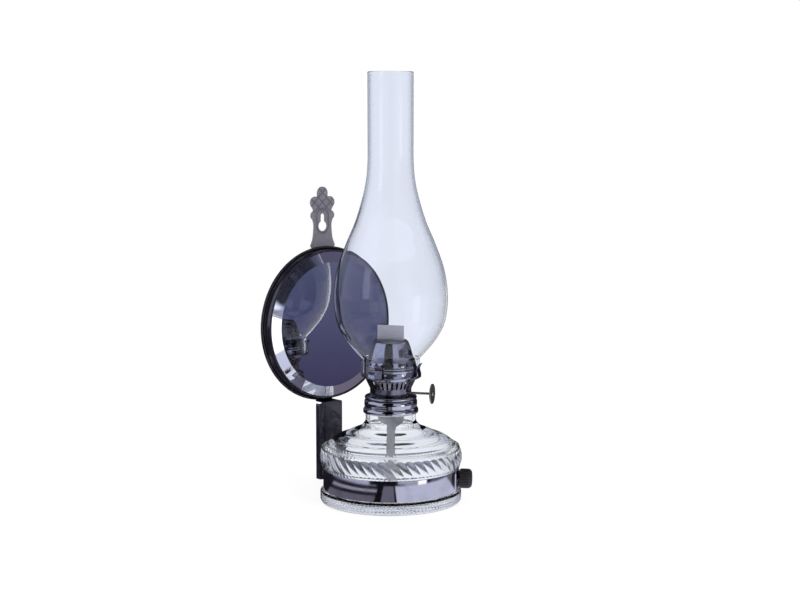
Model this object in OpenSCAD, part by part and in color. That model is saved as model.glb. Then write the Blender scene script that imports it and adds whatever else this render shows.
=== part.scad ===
// Wall-hung kerosene lamp: pressed-glass font in a clamped band, screw-in flat-wick burner,
// pear-shaped chimney, and a sheet-steel bracket that carries a bevelled mirror.
// The lamp's axis is Z, the table is z = 0, and the wall is on the +Y side.

/* [Font] */
// Largest radius of the glass font, at its bulging upper ring
font_r = 63.3; // [54:0.1:76]
// Height of the foot ring below the clamp band
foot_h = 11; // [9:0.1:14]
// Height of the recess that the clamp band sits in
recess_h = 19.2; // [16:0.1:23]
// Depth of that recess, from the bulge's radius
recess_d = 3.5; // [3:0.1:5]
// Height of the bulging upper ring
bulge_h = 19; // [16:0.1:23]
// Height of the sloping shoulder, from the bulge to the neck
shoulder_h = 22.6; // [19:0.1:28]
// Height of the neck that shows below the collar
neck_h = 7.6; // [5:0.1:12]
// Radius of the neck
neck_r = 22.6; // [22.2:0.1:24]
// Thickness of the glass
font_wall = 3.6; // [3:0.1:5]

/* [Burner] */
// Radius of the burner's screw thread
thread_r = 18.9; // [15.5:0.1:19.2]
// Travel of the burner for each turn of its thread
thread_pitch = 2.3; // [1.5:0.1:3]
// Width of the flat wick
wick_w = 24.4; // [19:0.1:26]
// Thickness of the flat wick
wick_t = 2.2; // [1.8:0.1:2.6]
// How far the wick stands above the dome
wick_out = 11.5; // [1:0.5:14]
// How far the wick's lower end hangs above the table
wick_low = 24; // [20:1:40]
// Direction in which the wick raiser's spindle points, from +X
burner_angle = -55; // [-180:1:180]
// Height of the pierced air basket
basket_h = 13.6; // [12:0.1:18]
// Radius of the air basket's top
basket_r = 22.9; // [22.4:0.1:24]
// Height of the dome above the gallery's seat
dome_h = 34.2; // [30:0.1:38]
// Height of the gallery's plain band, which the dome stands in
band_h = 7.3; // [5:0.1:9]
// Distance from the lamp's axis to the raiser's disc
raiser_reach = 40; // [34:0.5:50]
// Radius of the raiser's disc
raiser_r = 8.9; // [6:0.1:11]
// Thickness of the burner's sheet brass
brass_t = 0.6; // [0.5:0.05:0.7]

/* [Chimney] */
// Outside radius of the chimney's fitting base
chimney_base_r = 26; // [25.6:0.1:31.5]
// Largest outside radius of the chimney's bulb
bulb_r = 50.7; // [44:0.1:58]
// Outside radius of the chimney's straight upper tube
chimney_top_r = 20.1; // [17:0.1:23]
// Height of the whole chimney
chimney_h = 267.6; // [215:0.1:325]
// Thickness of the chimney's glass
chimney_wall = 1.6; // [1.2:0.1:2]

/* [Clamp] */
// Thickness of the strap round the font
strap_t = 0.7; // [0.5:0.05:0.9]
// Direction of the clamp knob, from +X
knob_angle = -47; // [-80:1:-20]
// Radius of the clamp knob
knob_r = 8.8; // [7:0.1:9]
// Length of the clamp knob
knob_l = 11.6; // [9:0.1:15]
// Radius of the clamp stud
stud_r = 2; // [1.6:0.1:2.5]

/* [Bracket] */
// Distance from the lamp's axis to the wall
wall_y = 100.5; // [95:0.5:115]
// How far the arm's face stands off the wall
arm_out = 13.5; // [10:0.5:18]
// Width of the bracket arm
arm_w = 26.6; // [24:0.1:32]
// Depth of the bracket arm's channel
arm_d = 7; // [5:0.1:9]
// Height of the arm's lower end above the table
arm_low = 4; // [1:0.5:8]
// Height of the mirror's centre above the table
mirror_z = 149.7; // [140:0.1:180]
// Radius of the reflector's rolled rim
rim_r = 72.3; // [60:0.1:76]
// Width of the band between the rolled rim and the mirror frame
rim_gap = 3; // [2.6:0.1:4.4]
// Width of the mirror's bevel
bevel_w = 10.3; // [5:0.1:13]
// Thickness of the mirror glass
mirror_t = 3; // [2:0.1:4]
// Height of the hanger's ornament above the mirror's centre
crest_h = 127.3; // [118:0.1:140]
// Radius of the hanger's keyhole, at its wide end
keyhole_r = 4.8; // [4:0.1:5.5]
// Radius of the hanger's keyhole, at its narrow end
keyslot_r = 2.2; // [1.6:0.1:2.6]
// Thickness of the bracket's sheet steel
steel_t = 0.8; // [0.6:0.05:1]

/* [Hidden] */
$fn = 96;
fit = 0.1;          // running clearance
clear = 0.3;        // clearance between pieces that move past each other
eps = 0.01;

// heights, from the table up
z_recess = foot_h;
z_bulge = z_recess + recess_h;
z_shoulder = z_bulge + bulge_h;
z_neck = z_shoulder + shoulder_h;
z_collar = z_neck + neck_h;
collar_h = 12.4;
z_thread = z_collar + collar_h;             // top of the collar, where the burner seats
z_plate = z_thread + clear;
plate_t = 0.7;
z_base = z_plate + plate_t;
base_h = 4;
z_basket = z_base + base_h;
z_gallery = z_basket + basket_h;
seat_rise = 1.6;
z_seat = z_gallery + seat_rise;             // underside of the chimney's seat
z_chimney = z_seat + brass_t + 0.2;
z_dome = z_seat + dome_h;

// font radii
recess_r = font_r - recess_d;
collar_r = neck_r + 1;
neck_in = thread_r + 0.9;
neck_seat_r = neck_in + 1.2;                // glass under the collar

// wick, tube and raiser, in the burner's own direction
tube_gap = 0.4;
tube_w = wick_w + 2 * tube_gap + 2 * brass_t;
tube_d = wick_t + 2 * tube_gap + 2 * brass_t;
wheel_r = 4.4;
wheel_t = 1.4;
wheel_x = wick_w * 0.28;
spindle_r = 1.1;
bush_r = 1.6;
spindle_y = -(wick_t / 2 + wheel_r + 0.05);
z_spindle = z_basket + bush_r + fit;
box_w = 2 * (wheel_x + wheel_t + 2.4);
box_d = wheel_r * 2 + 1.4;
box_low = z_spindle - wheel_r - 0.7;
box_high = z_spindle + wheel_r + 0.7;
z_tube_low = z_collar + 2;
z_tube_top = z_dome - 2.6;
z_wick_top = z_dome + wick_out;
z_twist = z_tube_low - 6;                   // stays below the tube when the wick is raised
twist = 58;                                 // the wick turns this far below its tube, in degrees

// clamp strap
strap_h = recess_h - 0.6;
strap_z = z_recess + 0.3;
strap_r = recess_r + 0.05;                  // inside of the strap, tight on the glass
z_knob = z_recess + recess_h / 2 + 0.2;
lap_deg = 13;                               // half the angle of the overlap
lap_r = strap_r + strap_t;
washer_r0 = lap_r + strap_t + fit;
washer_t = 0.8;
knob_r0 = washer_r0 + washer_t + fit;
stud_end = knob_r0 + knob_l - 3.4;

// bracket layers, from the wall outwards
y_hanger = wall_y - 1;
y_tongue = y_hanger - steel_t;
y_saucer = y_tongue - steel_t;
y_frame = y_saucer - steel_t;
y_web = wall_y - arm_out;
frame_r = rim_r - rim_gap;
frame_d = 11.2;
y_front = y_saucer - frame_d;               // the frame's crimped lip
mirror_r = frame_r - steel_t;               // inside of the frame's wall
glass_r = mirror_r - fit;
flat_r = mirror_r - bevel_w;
card_t = 0.5;
y_mirror = y_front + steel_t + fit;         // edge of the glass behind the lip
bevel_rise = 2.4;
z_arm_top = mirror_z - rim_r - clear;
panel_w = arm_w * 0.6;                      // raised panel along the arm
panel_out = 0.5;
tail_x = 2.2;                               // half the gap between the strap's tails
ear_w = 5.2;                                // foot of each tail, riveted to the panel
ear_x = tail_x + ear_w - 2.3;               // where its rivets are
ear_y = y_web - panel_out;

// points on an arc, counter-clockwise from angle a to angle b
function arc(x, y, r, a, b, n = 10) =
    [for (i = [0:n]) let (t = a + (b - a) * i / n) [x + r * cos(t), y + r * sin(t)]];
function reversed(p) = [for (i = [len(p) - 1:-1:0]) p[i]];
// one point of a smooth curve through four neighbours
function blend4(a, b, c, d, t) = 0.5 * ((2 * b) + (c - a) * t + (2 * a - 5 * b + 4 * c - d) * t * t
    + (3 * b - a - 3 * c + d) * t * t * t);
// a smooth curve through every point of p, with n steps between neighbours
function smooth(p, n = 6) = let (m = len(p) - 1) concat([for (i = [0:m - 1]) for (k = [0:n - 1])
    blend4(p[max(i - 1, 0)], p[i], p[i + 1], p[min(i + 2, m)], k / n)], [p[m]]);

module lathe(points) { rotate_extrude() polygon(points); }
module ring(r_in, r_out, z, h) {
    difference() {
        translate([0, 0, z]) cylinder(r = r_out, h = h);
        translate([0, 0, z - 1]) cylinder(r = r_in, h = h + 2);
    }
}
module box(x0, x1, y0, y1, z0, z1) { translate([x0, y0, z0]) cube([x1 - x0, y1 - y0, z1 - z0]); }
// turns a shape drawn along +X into the burner's direction
module in_burner() { rotate([0, 0, burner_angle]) children(); }
// a cylinder along +X, starting at x0
module rod_x(x0, x1, r) { translate([x0, 0, 0]) rotate([0, 90, 0]) cylinder(r = r, h = x1 - x0); }
// a cylinder along +Y, starting at y0
module rod_y(y0, y1, r) { translate([0, y0, 0]) rotate([-90, 0, 0]) cylinder(r = r, h = y1 - y0); }
// a lathe turned about the Y axis: each point is [radius, distance from the axis of the lamp]
module lathe_y(points) { rotate([-90, 0, 0]) rotate_extrude() polygon(points); }

// ---- font ----

foot_round = 2.2;
floor_t = 6;                                // thickness of the font's floor
foot_r = font_r - 0.4;

// the bulge is an arc that stands bulge_out proud of its own ends
bulge_out = 2.1;
bulge_arc_r = (pow(bulge_h / 2, 2) + pow(bulge_out, 2)) / (2 * bulge_out);
bulge_arc_a = asin(bulge_h / 2 / bulge_arc_r);

shoulder_run = font_r - neck_r;
function shoulder(run, rise) = [neck_r + shoulder_run * run, z_shoulder + shoulder_h * rise];
function font_outside() = concat(
    [[0, 0]],
    arc(foot_r - foot_round, foot_round, foot_round, -90, 0, 6),
    arc(foot_r - foot_round, foot_h - foot_round - 0.2, foot_round, 0, 80, 6),
    [[recess_r, z_recess], [recess_r, z_bulge]],
    arc(font_r - bulge_arc_r, z_bulge + bulge_h / 2, bulge_arc_r, -bulge_arc_a, bulge_arc_a, 12),
    smooth([shoulder(0.86, 0.07), shoulder(0.76, 0.26), shoulder(0.47, 0.5), shoulder(0.15, 0.75),
        shoulder(0.025, 0.93), [neck_r, z_neck + 1.5]], 5),
    [[neck_r, z_collar - 0.4], [neck_seat_r, z_collar - 0.2], [neck_seat_r, z_thread - 2]]);

inside_r = recess_r - font_wall;
function font_inside() = concat(
    [[neck_in, z_thread - 2]],
    smooth([[neck_in, z_neck + 1], [neck_in + 1.4, z_neck - 4], shoulder(0.15, 0.54),
        shoulder(0.44, 0.31), shoulder(0.68, 0.1), [inside_r, z_shoulder - 5]], 5),
    arc(inside_r - 6, floor_t + 6, 6, 0, -90, 6),
    [[0, floor_t]]);

module glass_font() {
    color([0.86, 0.9, 0.95, 0.45]) lathe(concat(font_outside(), font_inside()));
}

// plaster that holds the collar on the glass
module collar_cement() {
    color("gainsboro") ring(neck_seat_r, collar_r - 1.3, z_collar, collar_h - 1.4);
}

module font_collar() {
    z = z_collar;
    color([0.45, 0.45, 0.52]) lathe([
        [collar_r - 1.3, z], [collar_r + 0.5, z], [collar_r + 1, z + 0.6], [collar_r + 1, z + 3.2],
        [collar_r + 0.4, z + 4.4], [collar_r - 0.5, z + 5.2], [collar_r - 0.5, z + 6],
        [collar_r, z + 6.8], [collar_r, z + 10.6], [collar_r - 0.4, z + 11.6],
        [collar_r - 1.2, z + collar_h], [thread_r + fit, z + collar_h], [thread_r + fit, z + 4.6],
        [thread_r + fit + 0.5, z + 4.6], [thread_r + fit + 0.5, z + collar_h - 1.4],
        [collar_r - 1.3, z + collar_h - 1.4]]);
}

// ---- clamp strap ----

function unit(v) = v / norm(v);
function left(d) = [-d[1], d[0]];
// the miter of a line of points at its point i, to its left
function miter(p, i) = let (a = left(unit(p[i] - p[max(i - 1, 0)] + (i == 0 ? p[1] - p[0] : [0, 0]))),
    b = i == len(p) - 1 ? a : left(unit(p[i + 1] - p[i])), m = unit(a + b)) m / (m * b);
// a line of points made into a strip of thickness t on its left
function strip(p, t) = concat(p, reversed([for (i = [0:len(p) - 1]) p[i] + t * miter(p, i)]));

strap_out = strap_r + strap_t;              // outside of the strap
tail_a = asin((tail_x + strap_t) / strap_out);
tail_end = [[tail_x + strap_t, ear_y - strap_t], [tail_x + ear_w, ear_y - strap_t]];
lap_a = knob_angle - lap_deg;
joggle = 1.4;                               // angle over which the long strap steps out
module strap(path) {
    color([0.62, 0.63, 0.7]) difference() {
        translate([0, 0, strap_z]) linear_extrude(strap_h) polygon(strip(path, strap_t));
        for (side = [-1, 1]) for (rivet = [-1, 1]) translate([side * ear_x, 0, strap_z + strap_h / 2 + rivet * 5])
            rod_y(ear_y - strap_t - 1, ear_y + 1, 1.2);
        rotate([0, 0, knob_angle]) translate([0, 0, z_knob]) rod_x(strap_r - 1, lap_r + strap_t + 1, stud_r);
    }
}
// goes from the left tail round the front, and laps over the short one at the knob
module strap_long() {
    strap(concat([for (p = reversed(tail_end)) [-p[0], p[1]]], arc(0, 0, strap_out, 90 + tail_a, 360 + lap_a, 88),
        arc(0, 0, strap_out + strap_t, 360 + lap_a + joggle, 360 + knob_angle + lap_deg, 10)));
}
module strap_short() {
    strap(concat(arc(0, 0, strap_out, lap_a + 2 * joggle, 90 - tail_a, 60), tail_end));
}
module strap_rivets() {
    color([0.5, 0.5, 0.55]) for (side = [-1, 1]) for (rivet = [-1, 1])
        translate([side * ear_x, 0, strap_z + strap_h / 2 + rivet * 5]) union() {
            rod_y(ear_y - strap_t - 0.8, ear_y - strap_t, 2);
            rod_y(ear_y - strap_t, ear_y + steel_t + 0.6, 1.2);
        }
}
// threaded stud, riveted in the short strap's end
module clamp_stud() {
    color([0.5, 0.5, 0.55]) rotate([0, 0, knob_angle]) translate([0, 0, z_knob]) rod_x(strap_r, stud_end, stud_r);
}
module clamp_washer() {
    color([0.6, 0.6, 0.66]) rotate([0, 0, knob_angle]) translate([0, 0, z_knob]) difference() {
        rod_x(washer_r0, washer_r0 + washer_t, stud_r + 3.4);
        rod_x(washer_r0 - 1, washer_r0 + washer_t + 1, stud_r + 0.3);
    }
}
insert_r = stud_r + 1.6;
insert_l = knob_l - 2.4;
knob_ribs = 22;
module clamp_knob() {
    color([0.1, 0.09, 0.1]) rotate([0, 0, knob_angle]) translate([knob_r0, 0, z_knob]) rotate([0, 90, 0])
        difference() {
            rotate_extrude() polygon(concat([[0, 0], [knob_r - 1.4, 0], [knob_r - 0.4, 0.8], [knob_r, 2]],
                [[knob_r, knob_l - 3.4]], arc(knob_r - 2.4, knob_l - 3.4, 2.4, 0, 75, 6), [[0, knob_l]]));
            translate([0, 0, -1]) cylinder(r = insert_r, h = insert_l + 1);
            for (i = [0:knob_ribs - 1]) rotate([0, 0, i * 360 / knob_ribs])
                translate([knob_r + 0.25, 0, 1.6]) cylinder(r = 0.65, h = knob_l, $fn = 16);
        }
}
// brass nut moulded into the knob
module knob_insert() {
    color("goldenrod") rotate([0, 0, knob_angle]) translate([0, 0, z_knob]) difference() {
        rod_x(knob_r0, knob_r0 + insert_l, insert_r);
        rod_x(knob_r0 - 1, knob_r0 + insert_l - 0.2, stud_r + fit / 2);
    }
}

// ---- bracket and mirror ----

rivet_z = [mirror_z - 49, mirror_z - 38, mirror_z + 38, mirror_z + 49];
tongue_top = rivet_z[1] + 7;
corner = 2.2;

// the channel's section, open towards the wall, from y = 0 at its web
module channel_2d() {
    difference() {
        union() {
            translate([-arm_w / 2, corner]) square([arm_w, arm_d - corner]);
            translate([-arm_w / 2 + corner, 0]) square([arm_w - 2 * corner, corner + 1]);
            for (s = [-1, 1]) translate([s * (arm_w / 2 - corner), corner]) circle(r = corner);
            translate([-panel_w / 2, -panel_out]) square([panel_w, 1]);
        }
        translate([-arm_w / 2 + steel_t, corner]) square([arm_w - 2 * steel_t, arm_d]);
        translate([-arm_w / 2 + corner, steel_t]) square([arm_w - 2 * corner, corner]);
        for (s = [-1, 1]) translate([s * (arm_w / 2 - corner), corner]) circle(r = corner - steel_t);
        translate([-panel_w / 2 + steel_t, steel_t - panel_out]) square([panel_w - 2 * steel_t, 1]);
    }
}
module bracket_arm() {
    color([0.09, 0.08, 0.1]) difference() {
        union() {
            difference() {
                translate([0, y_web, arm_low]) linear_extrude(z_arm_top - arm_low) channel_2d();
                // the two upper corners are rounded off
                for (s = [-1, 1]) translate([s * (arm_w / 2 - 4), y_web - 1, z_arm_top - 4]) difference() {
                    box(s < 0 ? -4.1 : 0, s < 0 ? 0 : 4.1, 0, arm_d + 2, 0, 4.1);
                    rod_y(-1, arm_d + 3, 4);
                }
            }
            // the web turns back under the rim, then up behind the reflector
            box(-arm_w / 2 + 4, arm_w / 2 - 4, y_web, y_hanger, z_arm_top - steel_t, z_arm_top);
            box(-arm_w / 2 + 4, arm_w / 2 - 4, y_tongue, y_hanger, z_arm_top - steel_t, tongue_top);
        }
        for (i = [0, 1]) translate([0, 0, rivet_z[i]]) rod_y(y_tongue - 1, y_hanger + 1, 1.5);
        for (side = [-1, 1]) for (rivet = [-1, 1]) translate([side * ear_x, 0, strap_z + strap_h / 2 + rivet * 5])
            rod_y(ear_y - 1, y_web + 2, 1.2);
    }
}

z_crest = mirror_z + crest_h;
z_key = z_crest - 36.5;
// half of the hanger's outline below its lobes: [half width, height above the mirror's centre]
function hanger_side() = concat([[arm_w / 2 - 4, rivet_z[2] - 8 - mirror_z], [arm_w / 2 - 4, rim_r * 0.9],
    [arm_w / 2 + 0.9, rim_r + 0.5]], smooth([[arm_w / 2 + 0.9, rim_r + 0.5], [11.4, crest_h - 47.5],
    [10.2, crest_h - 36], [11.6, crest_h - 29], [11, crest_h - 22]], 5));

module hanger_plate() {
    color([0.46, 0.45, 0.5]) difference() {
        union() {
            translate([0, y_hanger, 0]) rotate([-90, 0, 0]) mirror([0, 1, 0]) linear_extrude(wall_y - y_hanger)
                union() {
                    polygon(concat([for (p = hanger_side()) [p[0], p[1] + mirror_z]],
                        [for (p = reversed(hanger_side())) [-p[0], p[1] + mirror_z]]));
                    translate([0, z_crest - 6]) circle(r = 6);
                    for (s = [-1, 1]) {
                        translate([s * 8.4, z_crest - 14.6]) circle(r = 5.6);
                        translate([s * 6.6, z_crest - 18.4]) circle(r = 5);
                        translate([s * 9.4, z_crest - 26.6]) circle(r = 4.2);
                    }
                    translate([-6, z_crest - 26]) square([12, 20]);
                }
        }
        translate([0, 0, z_key]) rod_y(y_hanger - 1, wall_y + 1, keyhole_r);
        translate([0, 0, z_key + 9.4]) rod_y(y_hanger - 1, wall_y + 1, keyslot_r);
        box(-keyslot_r, keyslot_r, y_hanger - 1, wall_y + 1, z_key, z_key + 9.4);
        for (i = [0:3]) translate([0, 0, rivet_z[i]]) rod_y(y_hanger - 1, wall_y + 1, 1.5);
    }
}
// two rivets through the arm's tongue, two straight through to the hanger
module bracket_rivets() {
    color([0.3, 0.3, 0.34]) for (i = [0:3]) translate([0, 0, rivet_z[i]]) union() {
        rod_y(y_frame - 0.8, wall_y - 0.2, 1.5);
        rod_y(y_frame - 0.8, y_frame, 2.7);
        if (i > 1) difference() {
            rod_y(y_tongue, y_hanger, 3.4);
            rod_y(y_tongue - 1, y_hanger + 1, 1.5 - eps);
        }
    }
}

bead_r = (rim_gap - 2 * fit) / 2;           // rolled rim, round the frame
// dished back of the reflector, with a rolled rim
module reflector_saucer() {
    color([0.06, 0.06, 0.08]) difference() {
        translate([0, 0, mirror_z]) lathe_y(concat(
            [[0, y_saucer], [rim_r - 2 * bead_r, y_saucer]],
            arc(rim_r - bead_r, y_tongue - bead_r, bead_r, -180, 90, 18),
            [[0, y_tongue]]));
        for (i = [0:3]) translate([0, 0, rivet_z[i]]) rod_y(y_saucer - 1, y_tongue + 1, 1.5);
    }
}
y_card = y_mirror + mirror_t + card_t;      // back of the card
groove = 1.9;
// the frame's wall from its back to its lip, d inside the outer face
function frame_wall(d) = smooth([[frame_r - d, y_saucer - 1], [frame_r - d, y_card + 4.6],
    [frame_r - groove - d, y_card + 2.6], [frame_r - d, y_card + 0.3 - d * 0.3], [frame_r - d, y_mirror + 1]], 4);
// drawn tin: a groove pressed into its wall holds the glass against its crimped lip
module mirror_frame() {
    t = steel_t;
    lip = mirror_r - 0.9;
    color([0.12, 0.12, 0.15]) difference() {
        translate([0, 0, mirror_z]) lathe_y(concat([[0, y_saucer], [frame_r, y_saucer]], frame_wall(0),
            arc(frame_r - t, y_front + t, t, 0, -90, 5),
            [[lip, y_front], [lip, y_front + t], [mirror_r, y_front + t]],
            reversed(frame_wall(t)), [[mirror_r, y_frame], [0, y_frame]]));
        for (i = [0:3]) translate([0, 0, rivet_z[i]]) rod_y(y_frame - 1, y_saucer + 1, 1.5);
    }
}
module mirror_card() {
    color("burlywood") translate([0, 0, mirror_z]) rod_y(y_mirror + mirror_t, y_mirror + mirror_t + card_t, glass_r);
}
// flat silvered glass with a wide bevel
module mirror_glass() {
    color([0.75, 0.77, 0.85]) translate([0, 0, mirror_z]) lathe_y([[0, y_mirror - bevel_rise],
        [flat_r, y_mirror - bevel_rise], [glass_r - 0.6, y_mirror], [glass_r, y_mirror],
        [glass_r, y_mirror + mirror_t], [0, y_mirror + mirror_t]]);
}

// ---- burner ----

// the burner's screw skirt
module burner_thread() {
    top = z_thread + 0.1;
    low = z_collar + 3.6;
    n = floor((top - low - 1) / thread_pitch);
    color([0.7, 0.55, 0.28]) lathe(concat([[thread_r - 0.8, top], [thread_r - 0.8, low]],
        [[thread_r - 0.3, low]],
        [for (i = [0:n - 1]) for (p = [[-0.3, 0.3], [0, 0.9], [0, 1.3], [-0.3, 1.9]])
            [thread_r + p[0], low + i * thread_pitch + p[1]]],
        [[thread_r - 0.3, top]]));
}
tube_r = 2;
vent_y = tube_d / 2 + 6;
module tube_plate() {
    color([0.7, 0.55, 0.28]) in_burner() difference() {
        translate([0, 0, z_plate]) cylinder(r = collar_r - 1, h = plate_t);
        box(-tube_w / 2, tube_w / 2, -tube_d / 2, tube_d / 2, z_plate - 1, z_base + 1);
        translate([0, vent_y, z_plate - 1]) cylinder(r = tube_r, h = plate_t + 2);
    }
}
base_r = collar_r - 0.3;
basket_low_r = basket_r - 4.4;
module burner_base() {
    t = brass_t;
    color([0.42, 0.42, 0.5]) lathe([[base_r - t, z_base], [base_r, z_base], [base_r, z_base + 1],
        [base_r - 0.7, z_base + 1.8], [base_r - 2.4, z_base + 2.5], [basket_low_r + 0.8, z_base + 3.2],
        [basket_low_r, z_base + base_h], [basket_low_r - t, z_base + base_h],
        [basket_low_r + 0.1, z_base + 2.7], [base_r - 2.8, z_base + 1.9], [base_r - 1.2, z_base + 1.1],
        [base_r - t, z_base + 0.7]]);
}
basket_slots = 30;
basket_band = 4.6;                          // plain height under the slots
module air_basket() {
    t = brass_t;
    color([0.3, 0.3, 0.36]) difference() {
        lathe([[basket_low_r - t, z_basket], [basket_low_r, z_basket], [basket_low_r, z_basket + basket_band],
            [basket_r, z_gallery], [basket_r - t, z_gallery], [basket_low_r - t, z_basket + basket_band + 0.2]]);
        for (i = [0:basket_slots - 1]) rotate([0, 0, (i + 0.5) * 360 / basket_slots])
            box(basket_low_r - 2, basket_r + 2, -0.9, 0.9, z_basket + basket_band + 0.8, z_gallery - 1.2);
        in_burner() translate([0, spindle_y, z_spindle]) rod_x(10, basket_r + 2, bush_r);
    }
}
band_top = z_seat + band_h;
seat_r = chimney_base_r + 0.2;
prong_n = 4;
prong_offset = 8;                           // the first prong stands this far from the spindle, in degrees
prong_w = 7;
prong_gap = 1.4;
pin_r = 0.8;
pin_at = (basket_r + brass_t + seat_r) / 2;
// one copy at each prong
module at_prong(i) { rotate([0, 0, burner_angle - prong_offset - i * 360 / prong_n]) children(); }

// plain band round the dome, with the chimney's seat round its foot
module gallery_ring() {
    t = brass_t;
    r = basket_r;
    color([0.42, 0.42, 0.5]) difference() {
        lathe(concat([[r - 1, z_gallery], [r + t, z_gallery], [r + t, z_seat], [seat_r, z_seat],
            [seat_r, z_seat + t], [r + t, z_seat + t], [r + t, band_top - 0.8]],
            arc(r + t - 0.1, band_top - 0.4, 0.5, -60, 90, 5),
            [[r, band_top + 0.1], [r, z_gallery + t], [r - 1, z_gallery + t]]));
        for (i = [0:prong_n - 1]) at_prong(i) for (s = [-1, 1])
            translate([pin_at, s * 2, z_seat - 1]) cylinder(r = pin_r, h = 3, $fn = 24);
    }
}
// a spring leaf: out under the seat, up outside the glass, in to grip it, and out again at its tip
module prong(i) {
    t = brass_t;
    r1 = chimney_base_r + prong_gap + t;
    grip = chimney_base_r + clear + t;
    bend = r1 - seat_r;
    z0 = z_seat - t;
    color([0.3, 0.3, 0.36]) at_prong(i) difference() {
        translate([0, prong_w / 2, 0]) rotate([90, 0, 0]) linear_extrude(prong_w) polygon(strip(concat(
            [[basket_r + t + 0.1, z0]], arc(r1 - bend, z0 + bend, bend, -90, 0, 6),
            smooth([[r1, z_seat + 4], [grip, z_seat + 8.2], [grip + 1.3, z_seat + 11.4],
                [grip + 2.4, z_seat + 12.6]], 4)), t));
        for (s = [-1, 1]) translate([pin_at, s * 2, z0 - 1]) cylinder(r = pin_r, h = 3, $fn = 24);
    }
}
module prong_rivets() {
    z0 = z_seat - brass_t;
    color([0.6, 0.6, 0.66]) for (i = [0:prong_n - 1]) at_prong(i) for (s = [-1, 1]) translate([pin_at, s * 2, 0])
        union() {
            translate([0, 0, z0]) cylinder(r = pin_r, h = 2 * brass_t, $fn = 24);
            translate([0, 0, z0 - 0.6]) cylinder(r = pin_r + 0.5, h = 0.6, $fn = 24);
        }
}
slot_w = tube_w + 3.4;
slot_d = tube_d + 4.4;
dome_holes = 20;
dome_hole_r = 1.7;
z_holes = band_top + 5.2;
// outline of the dome, t inside its outer face: the side, then the crown
function dome_line(t) = concat([[basket_r - t, z_seat + 2], [basket_r - t, band_top + 0.4]],
    arc(basket_r - t - 0.1, band_top + 1.5, 0.7, -50, 50, 4),
    smooth([[basket_r * 0.985 - t, band_top + 2.8], [basket_r * 0.96 - t, z_holes + 1.6],
    [basket_r * 0.86 - t, z_dome - dome_h * 0.44], [basket_r * 0.78 - t, z_dome - dome_h * 0.24 - t * 0.2],
    [basket_r * 0.7 - t * 0.8, z_dome - dome_h * 0.1 - t * 0.5]], 5));
function dome_crown(t) = [[basket_r * 0.655 - t * 0.6, z_dome - dome_h * 0.062 - t * 0.7],
    [basket_r * 0.59 - t * 0.4, z_dome - dome_h * 0.035 - t * 0.9],
    [basket_r * 0.35, z_dome - dome_h * 0.008 - t], [0, z_dome - t]];
module burner_dome() {
    color([0.42, 0.42, 0.5]) in_burner() difference() {
        lathe(concat(dome_line(0), dome_crown(0), reversed(dome_crown(brass_t)), reversed(dome_line(brass_t))));
        box(-slot_w / 2, slot_w / 2, -slot_d / 2, slot_d / 2, z_dome - 8, z_dome + 1);
        for (i = [0:dome_holes - 1]) rotate([0, 0, i * 360 / dome_holes]) translate([0, 0, z_holes])
            rod_x(basket_r - 3, basket_r + 1, dome_hole_r);
    }
}
module wick_tube() {
    color([0.7, 0.55, 0.28]) in_burner() difference() {
        box(-tube_w / 2, tube_w / 2, -tube_d / 2, tube_d / 2, z_tube_low, z_tube_top);
        box(-tube_w / 2 + brass_t, tube_w / 2 - brass_t, -tube_d / 2 + brass_t, tube_d / 2 - brass_t,
            z_tube_low - 1, z_tube_top + 1);
        for (s = [-1, 1]) box(s * wheel_x - wheel_t / 2 - 0.4, s * wheel_x + wheel_t / 2 + 0.4, -tube_d, 0,
            z_spindle - 3.6, z_spindle + 3.6);
    }
}
module vent_tube() {
    color([0.7, 0.55, 0.28]) in_burner() translate([0, vent_y, 0])
        ring(tube_r - 0.6, tube_r, z_plate - 6, 12);
}
// small cover over the wheels, soldered to the tube
module wheel_box() {
    y1 = -tube_d / 2;
    y0 = y1 - box_d;
    t = 0.5;
    color([0.7, 0.55, 0.28]) in_burner() difference() {
        box(-box_w / 2, box_w / 2, y0, y1, box_low, box_high);
        box(-box_w / 2 + t, box_w / 2 - t, y0 + t, y1 + 1, box_low + t, box_high - t);
        translate([0, spindle_y, z_spindle]) rod_x(-box_w, box_w, spindle_r + fit);
    }
}
module spindle_bush() {
    x0 = sqrt(pow(basket_low_r - brass_t, 2) - pow(spindle_y, 2)) - 1.6;
    color([0.7, 0.55, 0.28]) in_burner() translate([0, spindle_y, z_spindle]) difference() {
        rod_x(x0, x0 + 4.2, bush_r);
        rod_x(x0 - 1, x0 + 6, spindle_r + fit / 2);
    }
}
module raiser_spindle() {
    color([0.4, 0.42, 0.4]) in_burner() translate([0, spindle_y, z_spindle])
        rod_x(-box_w / 2 - 0.6, raiser_reach, spindle_r);
}
wheel_teeth = 12;
module spur_wheel(side) {
    color([0.7, 0.55, 0.28]) in_burner() translate([side * wheel_x, spindle_y, z_spindle]) rotate([0, 90, 0])
        difference() {
            translate([0, 0, -wheel_t / 2]) linear_extrude(wheel_t) polygon([for (i = [0:wheel_teeth * 2 - 1])
                let (r = i % 2 == 0 ? wheel_r : wheel_r - 1.1, a = i * 180 / wheel_teeth) [r * cos(a), r * sin(a)]]);
            translate([0, 0, -wheel_t]) cylinder(r = spindle_r, h = wheel_t * 2);
        }
}
disc_t = 1.2;
// thin milled disc with a shallow dish and a short hub
module raiser_disc() {
    color([0.45, 0.45, 0.46]) in_burner() translate([raiser_reach - 2.6, spindle_y, z_spindle]) rotate([0, 90, 0])
        rotate_extrude() polygon([[spindle_r, 0], [2.4, 0], [2.4, 1], [raiser_r - 1.6, 1.3], [raiser_r, 1.5],
            [raiser_r, 1.5 + disc_t], [raiser_r - 1.6, 1.3 + disc_t], [2.6, 1 + disc_t * 0.8],
            [spindle_r, 1 + disc_t * 0.8]]);
}
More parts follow.
